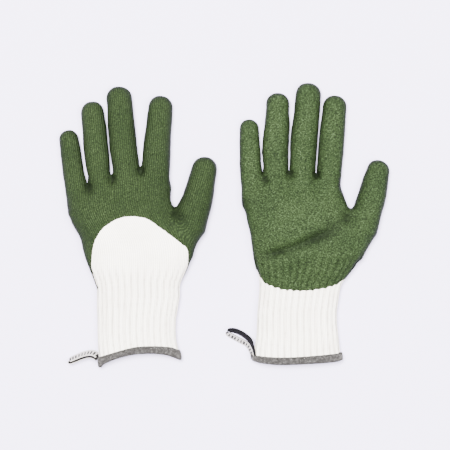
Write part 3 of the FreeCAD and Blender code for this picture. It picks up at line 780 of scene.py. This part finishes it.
    def edge_value(P, arc_now, whole_now):
        xy = P[:, :2]
        win = curve(WINDOW)
        ragged = 0.16 * wave(P, 37, 3.2)
        scallop = 1.15 * np.abs(np.sin(math.pi * RIBS * arc_now / whole_now)) ** 0.7 + 0.35 * wave(P, 31, 7.0)
        if side == "left":
            low_side = win[-1], win[0]
            outline = np.concatenate((win, [(190, 300), (215, 420), (60, 420), (92, 300)]))
            upper = signed(xy, np.stack((X(outline[:, 0]), Y(outline[:, 1])), 1)) - ragged
            arcl = curve(((97.2, 288), (104, 296), (118, 302), (138, 304), (158, 301), (174, 293), (182, 284), (186, 277)))
            outline = np.concatenate((arcl, [(190, 300), (215, 420), (60, 420), (92, 300)]))
            lower = signed(xy, np.stack((X(outline[:, 0]), Y(outline[:, 1])), 1)) - scallop
        else:
            pal = curve(PALM_EDGE)
            outline = np.concatenate((pal, [(360, 285), (380, 420), (230, 420), (250, 285)]))
            upper = signed(xy, np.stack((X(outline[:, 0]), Y(outline[:, 1])), 1)) - scallop
            wr = win.copy()
            share = (win[:, 0] - 97.2) / (186 - 97.2)
            wr[:, 0] = 256.0 + share * (354 - 256)
            wr[:, 1] = win[:, 1] - (16 + (6 - 16) * share)
            outline = np.concatenate((wr, [(360, 285), (380, 420), (230, 420), (250, 285)]))
            lower = signed(xy, np.stack((X(outline[:, 0]), Y(outline[:, 1])), 1))
        zc = g.rows(P[:, 1])[2]
        m = smooth((P[:, 2] - zc + 1.5) / 3.0)
        return lower + (upper - lower) * m

    rest = data[:, 3:6]
    arc, whole = g.arc(rest)
    near = rest[:, 1] < Y(205)
    value = np.full(len(V), 50.0)
    value[near] = edge_value(rest[near], arc[near], whole[near])
    V, data, T, _ = split(V, data, T, value)
    V, data, T, _ = split(V, data, T, data[:, 4] - WRIST_Y)
    hem = HEM[side]
    low = curve(hem["low"])
    low_y = lambda x, lift: np.interp(x, X(low[:, 0]), Y(low[:, 1])) + lift
    V, data, T, _ = split(V, data, T, data[:, 4] - low_y(data[:, 3], 0.9))

    rest, fab, shade = data[:, 3:6], data[:, 6:9], data[:, 9:12]
    arc, whole = g.arc(rest)
    near = rest[:, 1] < Y(205)
    value = np.full(len(V), 50.0)
    value[near] = edge_value(rest[near], arc[near], whole[near])
    tubes_now = g.field(rest, True)[2]
    N = vertex_normals(V, T)
    seg = np.zeros(len(T), int)
    mid = rest[T].mean(1)
    for i, name in enumerate(NAMES):
        F = g.fingers[name]
        s, _ = g.local(F, mid)
        own = tubes_now[i][T].mean(1) < 1.2
        seg = np.where(own & (s > F["k1"]), 1 + 2 * i, seg)
        seg = np.where(own & (s > F["k2"]), 2 + 2 * i, seg)
    face_value = value[T]
    wet = np.where(np.abs(face_value).max(1) < 1e-9, 0, face_value[np.arange(len(T)), np.abs(face_value).argmax(1)]) > 0
    wrist = mid[:, 1] < WRIST_Y
    keep = mid[:, 1] > low_y(mid[:, 0], 0.9)

    p = side + "_"
    body = side + "_hand"
    edge = np.clip(value, 0, 50)
    skin = -COAT + 0.16 + (COAT - 0.16) * smooth(edge / 1.6)
    parts = {}
    coat = shell(p + "palm_coating_v", V, N, T[(seg == 0) & wet & keep], skin, -COAT + 0.03, [LATEX[side], KNIT], rest, fab, shade)
    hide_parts(p + "palm_coating")
    liner = shell(p + "palm_liner_v", V, N, T[(seg == 0) & ~wrist & keep], -COAT, -COAT - LINER, [KNIT], rest, fab, shade)
    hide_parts(p + "palm_liner")
    cuff = shell(p + "knit_cuff_v", V, N, T[(seg == 0) & wrist & keep], -COAT, -COAT - CUFF, [KNIT], rest, fab, shade)
    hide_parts(p + "knit_cuff")
    for o, s in ((coat, "coating"), (liner, "liner"), (cuff, "cuff")):
        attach(o, body)
    for i, name in enumerate(NAMES):
        F = g.fingers[name]
        for j, part, parent in ((1, "lower", body), (2, "upper", "%s%s_lower" % (p, name))):
            sel = T[seg == j + 2 * i]
            me = "%s%s_%s" % (p, name, part)
            c = shell(me + "_coating_v", V, N, sel, 0.0, -COAT + 0.03, [LATEX[side], KNIT], rest, fab, shade)
            l = shell(me + "_liner_v", V, N, sel, -COAT, -COAT - LINER, [KNIT], rest, fab, shade)
            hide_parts(me + "_coating")
            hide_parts(me + "_liner")
            at = F["k1"] if part == "lower" else F["k2"]
            run = min(17.0, F["k2"] - F["k1"] - 0.5) if part == "lower" else 15.0
            z = 0.0 if side == "left" else 2 * FLAT * float(np.interp(at, F["s"], F["r"]))
            for o, s in ((c, "coating"), (l, "liner")):
                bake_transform(o)

    # ---- hem: a wrapped edge of close overlock threads
    nphi = 1240
    phi = np.linspace(0, 2 * math.pi, nphi, endpoint=False)
    y0 = -117.0 if side == "left" else -121.0
    _, a0, _, b0, n0 = g.rows(np.array([y0]))
    e = 2.0 / n0[0]
    cx, cz = np.sign(np.cos(phi)) * np.abs(np.cos(phi)) ** e, np.sign(np.sin(phi)) * np.abs(np.sin(phi)) ** e
    px, pz = cx * a0[0], cz * b0[0]
    d = np.hypot(np.diff(np.append(px, px[0])), np.diff(np.append(pz, pz[0])))
    run = np.concatenate(((0,), np.cumsum(d)))
    per = run[-1]
    want = np.linspace(0, per, nphi, endpoint=False)
    phi_u = np.interp(want, run, np.append(phi, 2 * math.pi))
    cx, cz = np.sign(np.cos(phi_u)) * np.abs(np.cos(phi_u)) ** e, np.sign(np.sin(phi_u)) * np.abs(np.sin(phi_u)) ** e
    xc, a0, zc, b0, _ = [float(np.ravel(q)[0]) for q in g.rows(np.array([y0]))]
    X0 = xc + cx * a0
    lowy = low_y(X0, 0.0)
    topl = curve(hem["top"])
    topy = np.interp(X0, X(topl[:, 0]), Y(topl[:, 1]))
    m = 26
    prof = []
    outer_off, inner_off = 0.75, -COAT - CUFF - 0.7
    for k in range(m):
        t = k / m
        ang = 2 * math.pi * t
        # a long rounded U section: out over the wall, round the edge, and up inside
        sx, sy = math.sin(ang), math.cos(ang)
        off = (outer_off + inner_off) / 2 + (outer_off - inner_off) / 2 * math.copysign(abs(sx) ** 0.55, sx)
        yy = 0.5 - 0.5 * math.copysign(abs(sy) ** 0.55, sy)
        prof.append((off, yy, sx, sy))
    nx, nz = np.abs(cx) ** (n0[0] - 1) * np.sign(cx) / a0, np.abs(cz) ** (n0[0] - 1) * np.sign(cz) / b0
    nn = np.hypot(nx, nz)
    nx, nz = nx / nn, nz / nn
    wraps = int(per / 1.05)
    rings = np.zeros((nphi, m, 3))
    th = np.arange(nphi) / nphi
    for k, (off, yy, sx, sy) in enumerate(prof):
        yv = topy + (lowy - topy) * yy
        xcy, ay, zcy, by, _ = g.rows(yv)
        slant = 0.35 * yy
        thread = 0.16 * np.cos(2 * math.pi * (wraps * th + slant)) + 0.05 * np.sin(2 * math.pi * 37 * th + 4 * yy)
        edge_band = 0.12 * math.exp(-((yy - 0.06) / 0.06) ** 2)
        o = off + (thread + edge_band) * (1 if sx > -0.2 else 0.3)
        yv = yv - (thread * 0.6 if yy > 0.9 else 0.0)
        rings[:, k, 0] = xcy + cx * ay + nx * o
        rings[:, k, 1] = yv
        rings[:, k, 2] = zcy + cz * by + nz * o
    rings[:, :, 2] = np.maximum(rings[:, :, 2], 0.02)
    hv, hq = tube_loop("hem", rings, None)
    yy_all = np.array([q[1] for q in prof])
    hem_fab = np.stack((np.repeat(wraps * th, m) + np.tile(0.35 * yy_all, nphi), np.tile(yy_all, nphi), np.zeros(nphi * m)), 1)
    ho = make(p + "cuff_hem_v", hv, hq, [HEMYARN], fab=hem_fab)
    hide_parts(p + "cuff_hem")
    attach(ho, body)

    # ---- elastic yarns laid inside the cuff
    vs, qs, base = [], [], 0
    for k in range(6):
        yk = WRIST_Y - 8 - 6.0 * k + 0.6
        xcy, ay, zcy, by, _ = [float(np.ravel(q)[0]) for q in g.rows(np.array([yk]))]
        off = -COAT - CUFF - 0.45
        c = np.stack((xcy + cx * ay + nx * off, np.full(nphi, yk), zcy + cz * by + nz * off), 1)[::6]
        nn3 = np.stack((nx, np.zeros(nphi), nz), 1)[::6]
        q8 = np.arange(8) * math.pi / 4
        ring = c[:, None, :] + 0.35 * (np.cos(q8)[None, :, None] * nn3[:, None, :] +
                                       np.sin(q8)[None, :, None] * np.array((0, 1.0, 0)))
        v, q = tube_loop("e", ring, None)
        vs.append(v)
        qs.append(q + base)
        base += len(v)
    el = make(p + "cuff_elastic_v", np.concatenate(vs), np.concatenate(qs), [ELASTIC])
    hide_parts(p + "cuff_elastic")
    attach(el, body)
    return g


def ribbon(name, path, width_dir, width, thick):
    """A tape along path (points and width directions), as rings with a face each side."""
    path, wd = np.array(path, f4), np.array(width_dir, f4)
    n = len(path)
    tan = np.gradient(path, axis=0)
    tan /= np.linalg.norm(tan, axis=1)[:, None]
    wd = wd - (wd * tan).sum(1)[:, None] * tan
    wd /= np.linalg.norm(wd, axis=1)[:, None]
    nor = np.cross(tan, wd)
    m = 13
    rows = []
    for side_ in (1, -1):
        for j in range(m):
            t = (j / (m - 1) - 0.5) * side_
            rows.append(path + wd * (t * width) + nor * (side_ * thick / 2))
    rings = np.stack(rows, 1)
    return rings


# ------------------------------------------------------------------ build
for side in ("left", "right"):
    build(side)


def loop(side, ctrl, tack_at):
    """The hang loop: tape out from the hem, round, and back under itself."""
    c = curve([p[:3] for p in ctrl], 12)
    w = curve([p[3:6] for p in ctrl], 12)
    width, thick = 10.1, 0.45
    rings = ribbon(side, c, w, width, thick)
    n, m, _ = rings.shape
    V, Q = tube_loop("t", rings, None, closed=False)
    caps = np.array([np.arange(m)[::-1], (n - 1) * m + np.arange(m)])
    # faces on the first half of each ring are one side of the tape, the rest the other
    j = np.tile(np.arange(m), n - 1)
    i = np.repeat(np.arange(n - 1), m)
    half = m // 2
    outer = (j < half) if side == "left" else (j >= half)
    idx = np.where(outer, 0, 1)
    # plain woven marks: short dark bars on the pale side
    length = np.concatenate(((0.0,), np.cumsum(np.linalg.norm(np.diff(c, axis=0), axis=1))))
    at = (length[i] + length[np.minimum(i + 1, n - 1)]) / 2
    jj = j % half
    bar = ((at % 2.9) < 1.5) & (jj > 2) & (jj < half - 3)
    idx = np.where(outer & bar, 1, idx)
    idx = np.concatenate((idx, (1, 1)))
    o = make(side + "_loop_tape_v", V, [Q, caps], [TAPE_WHITE, TAPE_BLACK], index=idx, smooth_faces=False)
    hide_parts(side + "_loop_tape")
    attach(o, side + "_loop")
    # bar tack: close short stitches on the hem
    vs, qs, base = [], [], 0
    for k in range(7):
        q8 = np.arange(8) * math.pi / 4
        t = np.linspace(-1, 1, 9)
        cen = np.array(tack_at)[None, :] + np.stack((0.25 - 0.5 * t ** 2, np.full(9, (k - 3) * 0.75), 2.2 * t), 1)
        ring = cen[:, None, :] + 0.3 * (np.cos(q8)[None, :, None] * np.array((1.0, 0, 0)) + np.sin(q8)[None, :, None] * np.array((0, 1.0, 0)))
        v, q = tube_loop("s", ring, None, closed=False)
        caps = np.array([np.arange(8)[::-1], 8 * 8 + np.arange(8)])
        vs.append(v)
        qs.append(np.array(q) + base)
        base += len(v)
    s = make(side + "_loop_tack_v", np.concatenate(vs), np.concatenate(qs), [THREAD])
    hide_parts(side + "_loop_tack")
    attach(s, side + "_hand")
    return o


def pt(px, py, z, wx, wy, wz):
    return (float(X(px)), float(Y(py)), z, wx, wy, wz)


def strand(points, lean):
    return [pt(x, y, z, *lean) for x, y, z in points]


left_loop = loop("left", strand(((97.8, 355.6, 8.8), (93.8, 353.2, 8.2), (89.0, 352.8, 7.2), (82.0, 354.6, 6.2), (75.0, 357.4, 5.6),
                                 (70.6, 359.4, 5.2), (69.2, 360.6, 5.1), (70.6, 361.5, 5.1), (76.0, 359.8, 5.4), (83.0, 357.0, 5.9),
                                 (89.5, 355.4, 6.8), (94.0, 356.2, 7.8), (97.6, 358.6, 8.4)), (-0.08, -0.40, 0.91)), (-114.2, -117.4, 8.2))
right_loop = loop("right", strand(((252.6, 356.4, 8.6), (250.6, 350.2, 7.6), (247.2, 344.6, 6.6), (240.0, 340.6, 5.6), (233.4, 337.2, 5.2),
                                   (229.0, 334.6, 5.0), (227.4, 332.4, 5.0), (229.2, 330.6, 5.0), (235.2, 330.9, 5.3), (243.2, 334.6, 5.9),
                                   (250.2, 340.6, 6.8), (252.8, 348.0, 7.8), (254.4, 356.0, 9.0)), (0.20, 0.42, 0.88)), (23.6, -116.6, 8.8))

# ------------------------------------------------------------------ floor, light, camera
def plane(name, size, z):
    me = bpy.data.meshes.new(name)
    s = size / 2
    me.from_pydata([(-s, -s, z), (s, -s, z), (s, s, z), (-s, s, z)], [], [(0, 1, 2, 3)])
    o = bpy.data.objects.new(name, me)
    bpy.context.scene.collection.objects.link(o)
    return o


floor = plane("floor", 8.0, -0.0002)
m = Nodes("floor_paper")
m.bsdf.inputs["Base Color"].default_value = (0.60, 0.555, 0.73, 1.0)
m.bsdf.inputs["Roughness"].default_value = 0.9
m.bsdf.inputs["Specular IOR Level"].default_value = 0.0
floor.data.materials.append(m.mat)

world = bpy.data.worlds.new("studio")
bpy.context.scene.world = world
world.use_nodes = True
bg = next(n for n in world.node_tree.nodes if n.type == "BACKGROUND")
bg.inputs["Color"].default_value = (1.0, 1.0, 1.0, 1.0)
bg.inputs["Strength"].default_value = 1.35


def area(name, loc, aim, size, power):
    d = bpy.data.lights.new(name, "AREA")
    d.shape = "RECTANGLE"
    d.size, d.size_y = size
    d.energy = power
    o = bpy.data.objects.new(name, d)
    o.location = loc
    o.rotation_euler = (Vector(aim) - Vector(loc)).to_track_quat("-Z", "Y").to_euler()
    bpy.context.scene.collection.objects.link(o)
    return o


area("key", (-0.25, 0.35, 2.4), (0, 0, 0), (0.9, 0.9), 455.0)
area("fill", (0.7, -0.2, 2.2), (0, 0, 0), (0.8, 0.8), 98.0)

cam = bpy.data.cameras.new("camera")
cam.sensor_width = 36.0
height = 1.6
cam.lens = 36.0 * (height - 0.008) / 0.4005
cam.clip_end = 20
co = bpy.data.objects.new("camera", cam)
co.location = (0.00026, 0.00024, height)
co.rotation_euler = (0, 0, 0)
bpy.context.scene.collection.objects.link(co)
bpy.context.scene.camera = co
